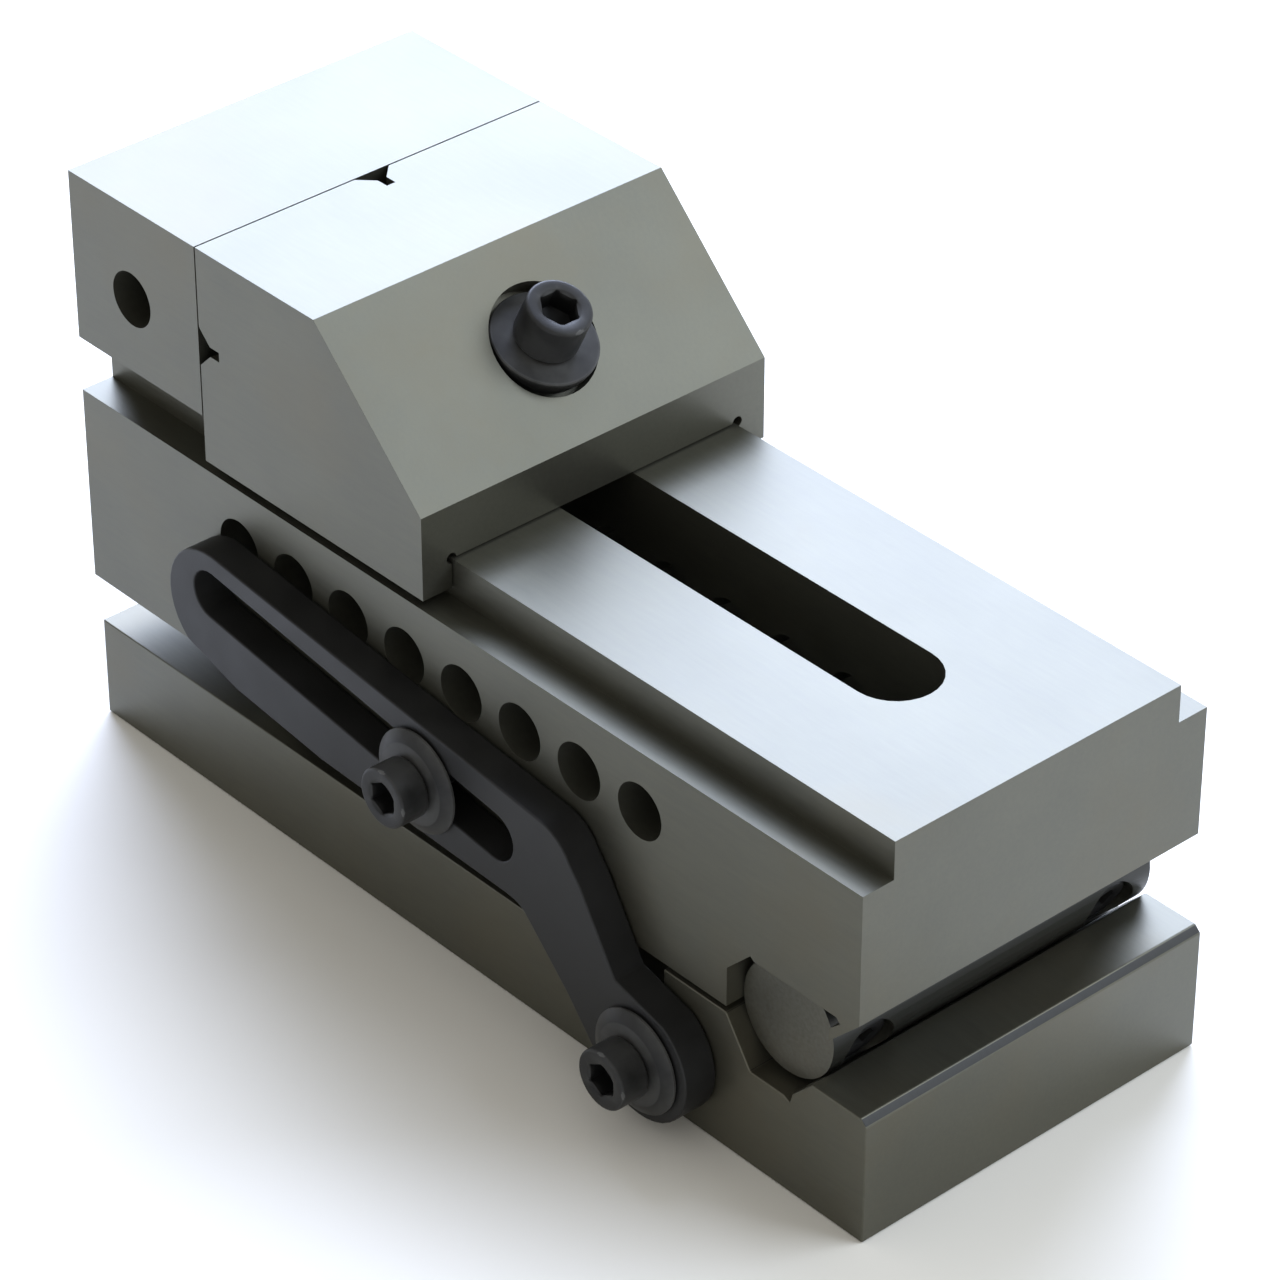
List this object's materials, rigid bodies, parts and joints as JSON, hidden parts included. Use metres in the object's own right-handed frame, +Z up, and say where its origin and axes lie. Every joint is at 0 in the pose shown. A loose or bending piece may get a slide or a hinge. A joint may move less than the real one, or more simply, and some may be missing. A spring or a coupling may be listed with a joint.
{
  "type": "sine vise",
  "caption": "Precision toolmaker's sine vise: ground steel screwless vise hinged on a sine base by rollers, with a slotted locking arm.",
  "frame": {"origin": "centre of the flat underside of the base plate", "axes": "+Z up, +X along the length from the fixed jaw's end towards the hinge roller's end, +Y across the width away from the locking arm"},
  "size_m": [0.1915, 0.0875, 0.1068],
  "materials": {
    "ground_steel": "surface ground",
    "roller_steel": "centreless ground",
    "black_oxide": "black oxide",
    "dark_steel": "turned"
  },
  "bodies": {
    "base": {"base_plate": "ground_steel", "arm_pivot_bush": "dark_steel"},
    "vise": {"vise_body": "ground_steel", "hinge_roller": "roller_steel", "rest_roller": "roller_steel", "hinge_roller_screw_near": "black_oxide", "hinge_roller_screw_far": "black_oxide", "rest_roller_screw_near": "black_oxide", "rest_roller_screw_far": "black_oxide"},
    "sliding_jaw": {"movable_jaw": "ground_steel", "ball_washer": "black_oxide"},
    "clamp_screw": {"jaw_clamp_screw": "black_oxide", "screw_keeper_ring": "dark_steel"},
    "bar": {"cross_bar": "dark_steel"},
    "arm": {"angle_arm": "black_oxide"},
    "arm_clamp": {"arm_clamp_screw": "black_oxide", "arm_clamp_washer": "black_oxide"},
    "arm_pivot": {"arm_pivot_screw": "black_oxide", "arm_pivot_washer": "black_oxide"}
  },
  "joints": [
    {"name": "tilt", "type": "hinge", "parent": "base", "child": "vise", "pos_m": [0.0742, 0, 0.0293], "axis": [0, 1, 0], "range_deg": [0, 45]},
    {"name": "jaw_slide", "type": "slide", "parent": "vise", "child": "sliding_jaw", "axis": [1, 0, 0], "range_m": [0, 0.0846]},
    {"name": "screw_turn", "type": "hinge", "parent": "sliding_jaw", "child": "clamp_screw", "pos_m": [-0.0407, 0, 0.0536], "axis": [-0.454, 0, -0.891], "range_deg": [0, 1584]},
    {"name": "bar_lift", "type": "slide", "parent": "sliding_jaw", "child": "bar", "axis": [0.454, 0, 0.891], "range_m": [0, 0.0055]},
    {"name": "arm_swing", "type": "hinge", "parent": "base", "child": "arm", "pos_m": [0.0511, 0, 0.013], "axis": [0, 1, 0], "range_deg": [0, 51.75]},
    {"name": "arm_clamp_turn", "type": "hinge", "parent": "vise", "child": "arm_clamp", "pos_m": [-0.0011, 0, 0.0386], "axis": [0, -1, 0], "range_deg": [0, 540]},
    {"name": "arm_pivot_turn", "type": "hinge", "parent": "base", "child": "arm_pivot", "pos_m": [0.0511, 0, 0.013], "axis": [0, -1, 0], "range_deg": [0, 360]}
  ],
  "couplings": [
    {"joint": "screw_turn", "follows": "bar_lift", "rad_per_m": 5026.5},
    {"joint": "arm_swing", "follows": "tilt", "ratio": 1.15}
  ]
}
